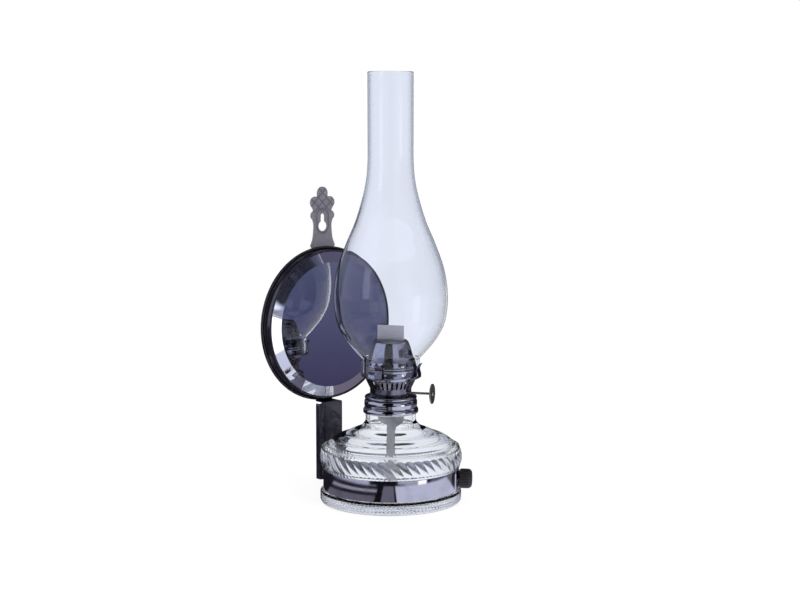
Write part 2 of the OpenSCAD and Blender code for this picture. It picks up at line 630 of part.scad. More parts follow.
// the spindle's riveted-over end
module raiser_cap() {
    color([0.25, 0.25, 0.25]) in_burner() translate([raiser_reach, spindle_y, z_spindle]) rotate([0, 90, 0])
        cylinder(r1 = 2, r2 = 1.2, h = 0.8);
}
// hangs straight in the tube, turns in four short steps below it, and hangs straight again in the font
twist_steps = 4;
twist_step = 3;                             // height of each step
module wick_length(low, high) { box(-wick_w / 2, wick_w / 2, -wick_t / 2, wick_t / 2, low, high + 0.5); }
module wick() {
    color([0.9, 0.88, 0.86]) in_burner() union() {
        wick_length(z_twist, z_wick_top - 0.5);
        for (i = [1:twist_steps]) rotate([0, 0, -twist * i / twist_steps])
            wick_length(i == twist_steps ? wick_low : z_twist - i * twist_step, z_twist - (i - 1) * twist_step);
    }
}

// ---- chimney ----

// [share of the height, radius] along the outside, from the fitting base up
function chimney_line() = let (swell = bulb_r - chimney_top_r, h = chimney_h)
    concat([[chimney_base_r, 0]], smooth([[chimney_base_r, 0.0583 * h], [chimney_base_r + 8.4, 0.093 * h],
    [bulb_r - 0.27 * swell, 0.134 * h], [bulb_r - 0.075 * swell, 0.183 * h], [bulb_r, 0.263 * h],
    [bulb_r - 0.1 * swell, 0.351 * h], [bulb_r - 0.35 * swell, 0.434 * h], [bulb_r - 0.637 * swell, 0.512 * h],
    [bulb_r - 0.845 * swell, 0.59 * h], [bulb_r - 0.955 * swell, 0.65 * h], [chimney_top_r + 0.1, 0.71 * h],
    [chimney_top_r, 0.784 * h]], 6), [[chimney_top_r, 0.99 * h], [chimney_top_r + 0.25, 0.997 * h]]);
module chimney() {
    color([0.85, 0.88, 0.95, 0.35]) translate([0, 0, z_chimney]) lathe(concat(chimney_line(),
        [[chimney_top_r - 0.3, chimney_h], [chimney_top_r - chimney_wall + 0.3, chimney_h]],
        reversed([for (p = chimney_line()) [p[0] - chimney_wall, p[1]]])));
}

glass_font();
collar_cement();
font_collar();
strap_long();
strap_short();
strap_rivets();
clamp_stud();
clamp_washer();
clamp_knob();
knob_insert();
bracket_arm();
hanger_plate();
bracket_rivets();
reflector_saucer();
mirror_frame();
mirror_card();
mirror_glass();
burner_thread();
tube_plate();
burner_base();
air_basket();
gallery_ring();
prong(0);  // prong_1
prong(1);  // prong_2
prong(2);  // prong_3
prong(3);  // prong_4
prong_rivets();
burner_dome();
wick_tube();
vent_tube();
wheel_box();
spindle_bush();
raiser_spindle();
spur_wheel(-1);  // spur_wheel_1
spur_wheel(1);  // spur_wheel_2
raiser_disc();
raiser_cap();
wick();
chimney();
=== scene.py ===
import math

import bmesh
import bpy
from mathutils import Matrix, Vector


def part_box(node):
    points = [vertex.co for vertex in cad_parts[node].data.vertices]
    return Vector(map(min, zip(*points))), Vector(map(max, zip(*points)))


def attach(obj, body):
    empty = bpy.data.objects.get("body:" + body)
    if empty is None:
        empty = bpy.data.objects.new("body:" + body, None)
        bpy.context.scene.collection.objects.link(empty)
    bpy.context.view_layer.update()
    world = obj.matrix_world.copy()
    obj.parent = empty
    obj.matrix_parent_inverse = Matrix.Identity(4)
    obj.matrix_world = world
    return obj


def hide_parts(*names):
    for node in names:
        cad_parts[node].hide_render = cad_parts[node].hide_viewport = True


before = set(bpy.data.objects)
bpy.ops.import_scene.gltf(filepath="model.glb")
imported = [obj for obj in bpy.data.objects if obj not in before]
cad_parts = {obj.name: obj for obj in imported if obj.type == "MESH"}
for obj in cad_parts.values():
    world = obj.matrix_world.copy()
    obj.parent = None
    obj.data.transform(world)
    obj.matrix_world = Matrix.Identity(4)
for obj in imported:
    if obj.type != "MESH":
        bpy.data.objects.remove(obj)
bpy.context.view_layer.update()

mm = 0.001

# ---- Camera ----
# It stands in front of the lamp and to its left, level with the tube of its chimney, and looks slightly down.
camera_turn = math.radians(39.39)
camera_reach = 1.3918
camera_height = 0.3413
camera_yaw = math.radians(39.73)
camera_pitch = math.radians(6.61)
camera_data = bpy.data.cameras.new("camera")
camera_data.lens = 71.16
camera_data.sensor_width = 36
camera_data.clip_start = 0.05
camera = bpy.data.objects.new("camera", camera_data)
camera.location = (-camera_reach * math.sin(camera_turn), -camera_reach * math.cos(camera_turn),
                   camera_height)
camera.rotation_euler = (math.pi / 2 - camera_pitch, 0, -camera_yaw)
bpy.context.scene.collection.objects.link(camera)
bpy.context.scene.camera = camera
bpy.context.scene.view_settings.view_transform = "Standard"

# ---- Studio ----
# A white room. Polished metal and the mirror reflect a dim purple-grey backdrop in it, with pale panels, one
# narrow white card, and a black gap where the camera stands.
toward_camera = Vector((-math.sin(camera_turn), -math.cos(camera_turn), 0))
right_of_camera = Vector((math.cos(camera_turn), -math.sin(camera_turn), 0))


def node(tree, kind, **settings):
    """A node with its plain settings; a key that starts with in_ is the default of that numbered input."""
    made = tree.nodes.new(kind)
    for key, value in settings.items():
        if key.startswith("in_"):
            made.inputs[int(key[3:])].default_value = value
        else:
            setattr(made, key, value)
    return made


def join(tree, source, target):
    """Links two sockets; a node stands for its first one."""
    out = source.outputs[0] if isinstance(source, bpy.types.Node) else source
    into = target.inputs[0] if isinstance(target, bpy.types.Node) else target
    tree.links.new(out, into)


def feed(tree, value, socket):
    """Gives a socket a number or a colour of its own, or links another socket into it."""
    if isinstance(value, tuple):
        socket.default_value = (*value, 1)
    elif isinstance(value, (int, float)):
        socket.default_value = value
    else:
        join(tree, value, socket)


def math_node(tree, operation, *values):
    """One Math node, from sockets or numbers."""
    made = node(tree, "ShaderNodeMath", operation=operation)
    for place, value in enumerate(values):
        feed(tree, value, made.inputs[place])
    return made.outputs[0]


def between(tree, value, low, high, soft):
    """1 where value is from low to high, with soft edges."""
    steps = []
    for edge in (low, high):
        step = node(tree, "ShaderNodeMapRange", interpolation_type="SMOOTHSTEP",
                    in_1=edge - soft, in_2=edge + soft)
        join(tree, value, step)
        steps.append(step.outputs[0])
    return math_node(tree, "SUBTRACT", *steps)


def mix_colour(tree, mask, under, over):
    """under where mask is 0 and over where it is 1; each is a socket or a colour."""
    made = node(tree, "ShaderNodeMix", data_type="RGBA")
    for place, value in ((0, mask), (6, under), (7, over)):
        feed(tree, value, made.inputs[place])
    return made.outputs[2]


def ramp(tree, value, stops):
    """A colour ramp with (place, colour) stops."""
    made = node(tree, "ShaderNodeValToRGB")
    while len(made.color_ramp.elements) < len(stops):
        made.color_ramp.elements.new(0.5)
    for element, (place, colour) in zip(made.color_ramp.elements, stops):
        element.position = place
        element.color = (*colour, 1)
    join(tree, value, made)
    return made.outputs[0]


world = bpy.data.worlds.new("studio")
bpy.context.scene.world = world
world.use_nodes = True
tree = world.node_tree
tree.nodes.clear()
direction = node(tree, "ShaderNodeTexCoord").outputs["Generated"]
across = []
for axis in (toward_camera, right_of_camera):
    dot = node(tree, "ShaderNodeVectorMath", operation="DOT_PRODUCT", in_1=axis)
    join(tree, direction, dot)
    across.append(dot.outputs["Value"])
split = node(tree, "ShaderNodeSeparateXYZ")
join(tree, direction, split)
turn = math_node(tree, "DEGREES", math_node(tree, "ARCTAN2", across[1], across[0]))
rise = math_node(tree, "DEGREES", math_node(tree, "ARCSINE", split.outputs[2]))
height_share = math_node(tree, "DIVIDE", math_node(tree, "ADD", rise, 90), 180)


def by_height(stops):
    """A colour that changes upwards: stops are degrees above the horizon and colours."""
    return ramp(tree, height_share, [((e + 90) / 180, c) for e, c in stops])


gloom = by_height(((-90, (0.36, 0.36, 0.42)), (-45, (0.12, 0.115, 0.15)), (-25, (0.028, 0.026, 0.04)),
                   (-8, (0.014, 0.013, 0.022)), (50, (0.012, 0.011, 0.02)), (90, (0.36, 0.36, 0.42))))
dusk = by_height(((-45, (0.19, 0.17, 0.22)), (-26, (0.18, 0.16, 0.21)), (-17, (0.056, 0.048, 0.1)),
                  (-10, (0.056, 0.048, 0.104)), (-7.4, (0.09, 0.095, 0.18)), (-5, (0.13, 0.14, 0.215)),
                  (20, (0.105, 0.094, 0.155))))
# Each panel's left, right, low and high edges and how soft they are, in degrees, and its colour. Left and
# right are counted from the camera's direction, towards its right.
panels = (
    (70, 114, -60, 23, 3, dusk),
    (12, 46, -4, 46, 3, (0.52, 0.52, 0.64)),
    (46, 130, 23, 46, 3, (0.42, 0.42, 0.52)),
    (-114, -36, -4, 46, 3, (0.56, 0.58, 0.78)),
    (-64, -24, -15, -4, 2, (0.46, 0.46, 0.56)),
    (24, 58, -15, -4, 2, (0.56, 0.57, 0.69)),
    (46, 62, -27, 1, 1.5, (1.7, 1.72, 1.8)),
    (-22, 22, -80, -3, 3, (0.003, 0.003, 0.006)),
    (-34, 10, -3, 70, 3, (0.003, 0.003, 0.006)),
)
colour = gloom
for left, right, low, high, soft, shade in panels:
    upright = between(tree, turn, left, right, soft)
    level = between(tree, rise, low, high, soft)
    colour = mix_colour(tree, math_node(tree, "MULTIPLY", upright, level), colour, shade)

few_faces = 3.5


def light_masks(tree):
    """What a ray is, as masks: seen straight, turned back inside a glass piece, reflected, reflected twice."""
    path = node(tree, "ShaderNodeLightPath")
    through = path.outputs["Is Transmission Ray"]
    once = math_node(tree, "GREATER_THAN", path.outputs["Glossy Depth"], 0.5)
    twice = math_node(tree, "GREATER_THAN", path.outputs["Glossy Depth"], 1.5)
    straight = math_node(tree, "MULTIPLY", through, math_node(tree, "SUBTRACT", 1.0, once))
    straight = math_node(tree, "MAXIMUM", straight, path.outputs["Is Camera Ray"])
    straight = math_node(tree, "MAXIMUM", straight, path.outputs["Is Diffuse Ray"])
    shallow = math_node(tree, "LESS_THAN", path.outputs["Transmission Depth"], few_faces)
    turned_back = math_node(tree, "MULTIPLY", math_node(tree, "MULTIPLY", through, shallow), once)
    return straight, turned_back, once, twice


straight, turned_back, _, twice = light_masks(tree)
veil = 0.8
colour = mix_colour(tree, math_node(tree, "MULTIPLY", twice, veil), colour, (0.01, 0.009, 0.014))
colour = mix_colour(tree, math_node(tree, "MULTIPLY", turned_back, veil), colour, (0.74, 0.78, 0.9))
colour = mix_colour(tree, straight, colour, (1.0, 1.0, 1.0))
background = node(tree, "ShaderNodeBackground")
join(tree, colour, background)
join(tree, background, node(tree, "ShaderNodeOutputWorld"))


def new_object(name, data):
    """An object for this mesh or light, linked to the scene."""
    made = bpy.data.objects.new(name, data)
    bpy.context.scene.collection.objects.link(made)
    return made


box_reach = 0.9
lamp_middle = Vector((0, 0, 0.15))
for name, side, lift, size, power in (("key_light", 0.9, 1.2, 0.9, 14), ("fill_light", -1.2, 0.9, 1.2, 7)):
    lamp = bpy.data.lights.new(name, "AREA")
    lamp.size = size
    lamp.energy = power
    box = new_object(name, lamp)
    box.location = toward_camera * box_reach + right_of_camera * side + Vector((0, 0, lift))
    box.rotation_euler = (lamp_middle - box.location).to_track_quat("-Z", "Y").to_euler()
    box.visible_glossy = False
    box.visible_camera = False
    box.visible_transmission = False

# A pale floor. Polished metal sees light and dark bands there instead, out to pool_r from the lamp's axis, and
# none of it further out. Reflections that come on through glass see it pale, at least out to bright_r.
floor_half = 3
floor_drop = 0.4 * mm
pool_r = 0.36
pool_soft = 0.02
bright_r = 0.25
paper_share = 0.14
corners = ((-1, -1), (1, -1), (1, 1), (-1, 1))
floor_mesh = bpy.data.meshes.new("floor")
floor_mesh.from_pydata([(x * floor_half, y * floor_half, -floor_drop) for x, y in corners], [], [(0, 1, 2, 3)])
floor = new_object("floor", floor_mesh)
floor_paint = bpy.data.materials.new("floor_paper")
floor_paint.use_nodes = True
tree = floor_paint.node_tree
tree.nodes.clear()
place = node(tree, "ShaderNodeNewGeometry").outputs["Position"]
along = []
for axis in (toward_camera, right_of_camera):
    dot = node(tree, "ShaderNodeVectorMath", operation="DOT_PRODUCT", in_1=axis)
    join(tree, place, dot)
    along.append(dot.outputs["Value"])
away = node(tree, "ShaderNodeVectorMath", operation="LENGTH")
join(tree, place, away)
away = away.outputs["Value"]
turn = math_node(tree, "DEGREES", math_node(tree, "ARCTAN2", along[1], along[0]))
bands = (  # metres from the axis, or degrees to the camera's right: from, to, soft edge and colour
    (away, 0.143, 0.19, 0.006, (0.4, 0.38, 0.48)),
    (away, 0.0, 0.11, 0.004, (0.16, 0.15, 0.2)),
    (turn, -180, -96, 3, (0.012, 0.011, 0.018)),
    (turn, -11, 4, 0.8, (0.17, 0.165, 0.22)),
    (turn, -19, -11, 0.8, (0.004, 0.004, 0.006)),
    (turn, 6.5, 100, 0.8, (0.7, 0.72, 0.89)),
    (turn, 4, 6.5, 0.5, (0.01, 0.01, 0.02)),
    (turn, 100, 190, 3, (0.18, 0.16, 0.21)),
)
pool = (0.02, 0.018, 0.03)
for measure, low, high, soft, shade in bands:
    pool = mix_colour(tree, between(tree, measure, low, high, soft), pool, shade)
pool_light = node(tree, "ShaderNodeEmission")
join(tree, pool, pool_light)
gone = node(tree, "ShaderNodeBsdfTransparent")
near = node(tree, "ShaderNodeMixShader")
join(tree, between(tree, away, -1, pool_r, pool_soft), near.inputs[0])
join(tree, gone, near.inputs[1])
join(tree, pool_light, near.inputs[2])
white = node(tree, "ShaderNodeEmission", in_0=(1, 1, 1, 1))
paper = node(tree, "ShaderNodeBsdfDiffuse", in_0=(1, 1, 1, 1))
lit = node(tree, "ShaderNodeMixShader", in_0=paper_share)
join(tree, white, lit.inputs[1])
join(tree, paper, lit.inputs[2])
_, turned_back, once, _ = light_masks(tree)
seen = node(tree, "ShaderNodeMixShader")
close = math_node(tree, "MULTIPLY", once, node(tree, "ShaderNodeLightPath").outputs["Is Transmission Ray"])
close = math_node(tree, "MULTIPLY", close, math_node(tree, "LESS_THAN", away, bright_r))
in_glass = math_node(tree, "MAXIMUM", turned_back, close)
join(tree, math_node(tree, "SUBTRACT", once, in_glass), seen.inputs[0])
join(tree, lit, seen.inputs[1])
join(tree, near, seen.inputs[2])
join(tree, seen, node(tree, "ShaderNodeOutputMaterial"))
floor_mesh.materials.append(floor_paint)

# ---- Glass font ----
# The oil reservoir: heavy pressed glass with a stippled foot ring, a plain recess for the clamp strap, and a
# bulging ring of slanted leaves between rows of beads. It came out of a mould, so its surface waves a little.
font_low, font_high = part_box("glass_font")
font_r = font_high.x
foot_h = 11 * mm
recess_top = 30.2 * mm
bulge_top = 49.2 * mm
shoulder_top = 71.8 * mm
font_top = font_high.z
recess_r = font_r - 3.5 * mm
neck_r = 22.6 * mm
neck_in = 19.8 * mm
seat_r = 21 * mm
font_wall = 3.6 * mm
font_floor = 6 * mm
leaf_count = 50
leaf_relief = 0.6 * mm
leaf_sink = 0.35
leaf_slant = 1.35
bead_count = 104
bead_relief = 0.4 * mm
bead_rows = ((bulge_top - 1.4 * mm, bulge_top + 1.4 * mm, 0), (bulge_top + 1.5 * mm, bulge_top + 3.7 * mm, 1),
             (recess_top + 0.2 * mm, recess_top + 2.5 * mm, 0))  # low, high and slant
stipple_rows = 4
stipple_low = 1.6 * mm
stipple_h = 2 * mm
stipple_count = 116
stipple_relief = 0.32 * mm
ridge_relief = 0.55 * mm
ridge_gap = 12.8 * mm
ridge_middle = 35 * mm


def arc(x, y, r, start, end, steps):
    """Points on an arc, its angles in degrees."""
    angles = [math.radians(start + (end - start) * i / steps) for i in range(steps + 1)]
    return [(x + r * math.cos(a), y + r * math.sin(a)) for a in angles]


def smooth(points, steps):
    """A smooth curve through every point."""
    out = []
    last = len(points) - 1
    for i in range(last):
        a, b, c, d = points[max(i - 1, 0)], points[i], points[i + 1], points[min(i + 2, last)]
        for k in range(steps):
            t = k / steps
            out.append(tuple(0.5 * (2 * q + (r - p) * t + (2 * p - 5 * q + 4 * r - s) * t * t
                                    + (3 * q - p - 3 * r + s) * t ** 3) for p, q, r, s in zip(a, b, c, d)))
    return out + [points[last]]


def spaced(points, step):
    """The same line with extra points, so that none are further apart than step."""
    out = [points[0]]
    for a, b in zip(points, points[1:]):
        count = max(1, math.ceil(math.dist(a, b) / step))
        out += [tuple(p + (q - p) * i / count for p, q in zip(a, b)) for i in range(1, count + 1)]
    return out


def mark_sharp(mesh, angle=35):
    """Smooth faces, with a sharp edge wherever two faces meet at more than this angle."""
    work = bmesh.new()
    work.from_mesh(mesh)
    for face in work.faces:
        face.smooth = True
    for edge in work.edges:
        edge.smooth = len(edge.link_faces) == 2 and edge.calc_face_angle(0) < math.radians(angle)
    work.to_mesh(mesh)
    work.free()


def turned(name, outline, sides=192, axis="Z", shift=(0, 0, 0), relief=None, closed=True, angle=35):
    """A lathe-turned piece from (radius, height) points. relief(turn, i) moves point i outwards."""
    work = bmesh.new()
    rings = []
    for i, (r, h) in enumerate(outline):
        if r < 1e-7:
            spot = (0, 0, h) if axis == "Z" else (0, h, 0)
            rings.append([work.verts.new(Vector(spot) + Vector(shift))])
            continue
        row = []
        for k in range(sides):
            a = 2 * math.pi * k / sides
            out = r + (relief(a, i) if relief else 0)
            x, y = out * math.cos(a), out * math.sin(a)
            spot = (x, y, h) if axis == "Z" else (x, h, y)
            row.append(work.verts.new(Vector(spot) + Vector(shift)))
        rings.append(row)
    for a, b in zip(rings, rings[1:] + rings[:1] if closed else rings[1:]):
        if len(a) == 1 and len(b) == 1:
            continue
        for k in range(sides):
            n = (k + 1) % sides
            corners = [a[k % len(a)], a[n % len(a)], b[n % len(b)], b[k % len(b)]]
            work.faces.new(list(dict.fromkeys(corners)))
    bmesh.ops.recalc_face_normals(work, faces=work.faces)
    mesh = bpy.data.meshes.new(name)
    work.to_mesh(mesh)
    work.free()
    mark_sharp(mesh, angle)
    return new_object(name, mesh)


def shoulder(run, height):
    """A point on the sloping shoulder, by its share of the way out from the neck and up from the bulge."""
    return neck_r + (font_r - neck_r) * run, bulge_top + (shoulder_top - bulge_top) * height


foot_r = font_r - 0.4 * mm
foot_round = 2.2 * mm
floor_round = 6 * mm
outer_slope = ((0.86, 0.07), (0.76, 0.26), (0.47, 0.5), (0.15, 0.75), (0.025, 0.93))
inner_slope = ((0.15, 0.54), (0.44, 0.31), (0.68, 0.1))
bulge_h = bulge_top - recess_top
bulge_out = 2.1 * mm
bulge_arc_r = ((bulge_h / 2) ** 2 + bulge_out ** 2) / (2 * bulge_out)
bulge_half = math.degrees(math.asin(bulge_h / 2 / bulge_arc_r))
outside = [(0, 0)] + arc(foot_r - foot_round, foot_round, foot_round, -90, 0, 6)
outside += arc(foot_r - foot_round, foot_h - 0.2 * mm - foot_round, foot_round, 0, 80, 6)
outside += [(recess_r, foot_h), (recess_r, recess_top)]
outside += arc(font_r - bulge_arc_r, recess_top + bulge_h / 2, bulge_arc_r, -bulge_half, bulge_half, 16)
outside += smooth([shoulder(*p) for p in outer_slope] + [(neck_r, shoulder_top + 1.5 * mm)], 8)
outside += [(neck_r, font_top - 10.8 * mm), (seat_r, font_top - 10.6 * mm), (seat_r, font_top)]
inside_r = recess_r - font_wall
inside = [(neck_in, font_top)]
inside += smooth([(neck_in, shoulder_top + 1 * mm), (neck_in + 1.4 * mm, shoulder_top - 4 * mm)]
                 + [shoulder(*p) for p in inner_slope] + [(inside_r, bulge_top - 5 * mm)], 8)
inside += arc(inside_r - floor_round, font_floor + floor_round, floor_round, 0, -90, 8) + [(0, font_floor)]
outside = spaced(outside, 0.75 * mm)
font_line = outside + inside


def bump_row(turn, z, low, high, count, slant=0.0):
    """A row of rounded bumps between two heights, from 0 to 1, slanted by a share of a bump's width."""
    t = (z - low) / (high - low)
    if not 0 < t < 1:
        return 0
    u = (turn / (2 * math.pi) * count + slant * (t - 0.5)) % 1
    return max(0, 1 - (2 * u - 1) ** 2) ** 0.7 * math.sin(math.pi * t) ** 0.6


def font_relief(turn, i):
    """The moulded pattern: rings on the shoulder, leaves between beads on the bulge, stipple on the foot."""
    if i >= len(outside):
        return 0
    r, z = font_line[i]
    out = 0
    if bulge_top + 3 * mm < z < shoulder_top:
        fade = min(1, (r - neck_r) / (3 * mm))
        out += ridge_relief * math.cos(2 * math.pi * (r - ridge_middle) / ridge_gap) * fade
    leaf = bump_row(turn, z, recess_top + 2.6 * mm, bulge_top - 1.6 * mm, leaf_count, leaf_slant)
    out += leaf_relief * (leaf - leaf_sink * (recess_top < z < bulge_top))
    for low, high, slant in bead_rows:
        out += bead_relief * bump_row(turn, z, low, high, bead_count, slant)
    for row in range(stipple_rows):
        low = stipple_low + row * stipple_h
        stagger = row * math.pi / stipple_count
        out += stipple_relief * bump_row(turn + stagger, z, low, low + stipple_h, stipple_count)
    return out


font = turned("glass_font_pressed", font_line, sides=720, relief=font_relief, closed=False, angle=60)
frost = font.data.attributes.new("frost", "FLOAT", "POINT")
for vert, value in zip(font.data.vertices, frost.data):
    out = math.hypot(vert.co.x, vert.co.y)
    on_bulge = recess_top < vert.co.z < bulge_top + 3 * mm
    value.value = 1.0 if out > recess_r + 0.2 * mm and (on_bulge or vert.co.z < foot_h) else 0.0


def material(name, **values):
    """A material with one Principled shader, and its tree; spaces in socket names are underscores here."""
    made = bpy.data.materials.new(name)
    made.use_nodes = True
    shader = made.node_tree.nodes["Principled BSDF"]
    for key, value in values.items():
        socket = shader.inputs[key.replace("_", " ")]
        socket.default_value = (*value, 1) if isinstance(value, tuple) and len(value) == 3 else value
    return made, made.node_tree, shader


def group(name, inputs, outputs):
    """An empty shader group with these sockets: name to default for inputs, name to kind for outputs."""
    made = bpy.data.node_groups.new(name, "ShaderNodeTree")
    for key, value in inputs.items():
        kind = "NodeSocketColor" if isinstance(value, tuple) else "NodeSocketFloat"
        socket = made.interface.new_socket(key, in_out="INPUT", socket_type=kind)
        socket.default_value = (*value, 1) if isinstance(value, tuple) else value
    for key, kind in outputs.items():
        made.interface.new_socket(key, in_out="OUTPUT", socket_type="NodeSocket" + kind)
    return made, node(made, "NodeGroupInput"), node(made, "NodeGroupOutput")


def placed(tree, made, **values):
    """The group set into a material, with its own values."""
    box = node(tree, "ShaderNodeGroup", node_tree=made)
    for key, value in values.items():
        socket = box.inputs[key.replace("_", " ")]
        socket.default_value = (*value, 1) if isinstance(value, tuple) else value
    return box


def speckle(tree, scale, detail, stretch=(1.0, 1.0, 1.0)):
    """Noise in the piece's own coordinates, stretched; scale is a number or a socket."""
    made = node(tree, "ShaderNodeTexNoise")
    feed(tree, scale, made.inputs["Scale"])
    made.inputs["Detail"].default_value = detail
    stretched = node(tree, "ShaderNodeVectorMath", operation="MULTIPLY", in_1=stretch)
    join(tree, node(tree, "ShaderNodeTexCoord").outputs["Object"], stretched)
    join(tree, stretched, made)
    return made.outputs[0]


def bumped(tree, height, strength, distance):
    """The normal of a surface with this height in it; strength is a number or a socket."""
    made = node(tree, "ShaderNodeBump")
    made.inputs["Distance"].default_value = distance
    feed(tree, strength, made.inputs["Strength"])
    join(tree, height, made.inputs["Height"])
    return made.outputs[0]


# The slow waves of glass that was pressed or blown, and faint smears on it.
glass_waves, given, result = group(
    "glass_waves", {"Wave Size": 60.0, "Wave Depth": 0.3, "Smear": 0.02, "Tint": (1.0, 1.0, 1.0)},
    {"Color": "Color", "Roughness": "Float", "Normal": "Vector"})
wave = speckle(glass_waves, given.outputs["Wave Size"], 2)
join(glass_waves, bumped(glass_waves, wave, given.outputs["Wave Depth"], 1 * mm), result.inputs["Normal"])
smear = node(glass_waves, "ShaderNodeMapRange", in_1=0.52, in_2=0.8)
join(glass_waves, speckle(glass_waves, 35, 5), smear)
join(glass_waves, math_node(glass_waves, "MULTIPLY", smear.outputs[0], given.outputs["Smear"]),
     result.inputs["Roughness"])
join(glass_waves, mix_colour(glass_waves, math_node(glass_waves, "MULTIPLY", smear.outputs[0], 0.12),
                             given.outputs["Tint"], (0.86, 0.88, 0.93)), result.inputs["Color"])


def glass(name, ior, frosted=0.0, **waves):
    """Clear glass with the waves group; frosted adds to its roughness where the mesh is marked frost."""
    made, tree, shader = material(name, Metallic=0.0, Transmission_Weight=1.0, IOR=ior)
    box = placed(tree, glass_waves, **waves)
    join(tree, box.outputs["Color"], shader.inputs["Base Color"])
    marked = node(tree, "ShaderNodeAttribute", attribute_name="frost").outputs["Fac"]
    dulled = math_node(tree, "ADD", box.outputs["Roughness"], math_node(tree, "MULTIPLY", marked, frosted))
    join(tree, dulled, shader.inputs["Roughness"])
    join(tree, box.outputs["Normal"], shader.inputs["Normal"])
    return made


font.data.materials.append(glass("pressed_glass", 1.42, frosted=0.16, Wave_Size=45.0, Wave_Depth=0.3,
                                 Smear=0.15, Tint=(0.935, 0.95, 0.985)))
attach(font, "root")
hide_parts("glass_font")

# ---- Chimney ----
# Thin blown glass: a straight fitting base that drops between the prongs, a pear-shaped bulb round the flame
# and a long tube above it. Its top edge is cut and fire-polished.
chimney_low, chimney_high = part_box("chimney")
chimney_h = chimney_high.z - chimney_low.z
chimney_base_r = 26 * mm
bulb_r = chimney_high.x
chimney_top_r = 20.1 * mm
chimney_wall = 1.6 * mm
swell = bulb_r - chimney_top_r
bulb_shape = [  # shares of the swell, and of the height
    (0.73, 0.134), (0.925, 0.183), (1, 0.263), (0.9, 0.351), (0.65, 0.434), (0.363, 0.512), (0.155, 0.59),
    (0.045, 0.65), (0.003, 0.71), (0, 0.784)]
chimney_curve = [(chimney_base_r, 0.0583), (chimney_base_r + 8.4 * mm, 0.093)]
chimney_curve += [(chimney_top_r + swell * part, up) for part, up in bulb_shape]
chimney_side = [(chimney_base_r, 0)] + smooth(chimney_curve, 12) + [(chimney_top_r, 0.975)]
chimney_side = [(r, chimney_low.z + chimney_h * up) for r, up in chimney_side]
rim = (chimney_top_r - chimney_wall / 2, chimney_high.z - chimney_wall / 2)
foot = (chimney_base_r - chimney_wall / 2, chimney_low.z + chimney_wall / 2)
chimney_line = [p for p in chimney_side if p[1] > foot[1]]
chimney_line += arc(*rim, chimney_wall / 2, 0, 180, 10)
chimney_line += [(r - chimney_wall, h) for r, h in reversed(chimney_side) if h > foot[1]]
chimney_line += arc(*foot, chimney_wall / 2, 180, 360, 10)
chimney = turned("chimney_blown", spaced(chimney_line, 3 * mm), sides=256)
chimney.data.materials.append(glass("blown_glass", 1.4, Wave_Size=14.0, Wave_Depth=0.12, Smear=0.02,
                                    Tint=(0.885, 0.912, 0.975)))
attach(chimney, "chimney")
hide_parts("chimney")

# ---- Nickel-plated pieces ----
# The collar, strap, burner base, gallery, dome and small fittings are nickel-plated brass, with fine rings from
# spinning and rolling and soft dull patches. The basket, prongs, screw and wick tube are plated darker, the
# wheels, their cover and the knob's nut are raw brass, and the spindle and bracket rivets are steel.
metal_finish, given, result = group(
    "metal_finish",
    {"Color": (0.6, 0.6, 0.6), "Dull Color": (0.4, 0.4, 0.4), "Roughness": 0.1, "Dull Roughness": 0.3,
     "Patch Size": 120.0, "Ring Size": 2500.0, "Ring Depth": 0.1},
    {"Color": "Color", "Roughness": "Float", "Normal": "Vector"})
dulled = node(metal_finish, "ShaderNodeMapRange", in_1=0.48, in_2=0.72)
join(metal_finish, speckle(metal_finish, given.outputs["Patch Size"], 6), dulled)
join(metal_finish, mix_colour(metal_finish, dulled.outputs[0], given.outputs["Color"],
                              given.outputs["Dull Color"]), result.inputs["Color"])
step = math_node(metal_finish, "SUBTRACT", given.outputs["Dull Roughness"], given.outputs["Roughness"])
step = math_node(metal_finish, "MULTIPLY", dulled.outputs[0], step)
join(metal_finish, math_node(metal_finish, "ADD", given.outputs["Roughness"], step),
     result.inputs["Roughness"])
rings = speckle(metal_finish, given.outputs["Ring Size"], 3, stretch=(0.02, 0.02, 1.0))
join(metal_finish, bumped(metal_finish, rings, given.outputs["Ring Depth"], 0.1 * mm), result.inputs["Normal"])


def metal(name, **finish):
    """Bare or plated metal with the finish group."""
    made, tree, shader = material(name, Metallic=1.0)
    box = placed(tree, metal_finish, **finish)
    join(tree, box.outputs["Color"], shader.inputs["Base Color"])
    join(tree, box.outputs["Roughness"], shader.inputs["Roughness"])
    join(tree, box.outputs["Normal"], shader.inputs["Normal"])
    return made


def finish_cad(paint, names, bevel=0.0):
    """Gives these CAD pieces a material, and rounds their edges a little."""
    for name in names:
        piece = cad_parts[name]
        piece.data.materials.clear()
        piece.data.materials.append(paint)
        if bevel:
            weld = piece.modifiers.new("weld", "WELD")
            weld.merge_threshold = 0.001 * mm
            soft = piece.modifiers.new("soft_edge", "BEVEL")
            soft.width = bevel
            soft.segments = 2
            soft.limit_method = "ANGLE"
            soft.angle_limit = math.radians(40)
            soft.harden_normals = True


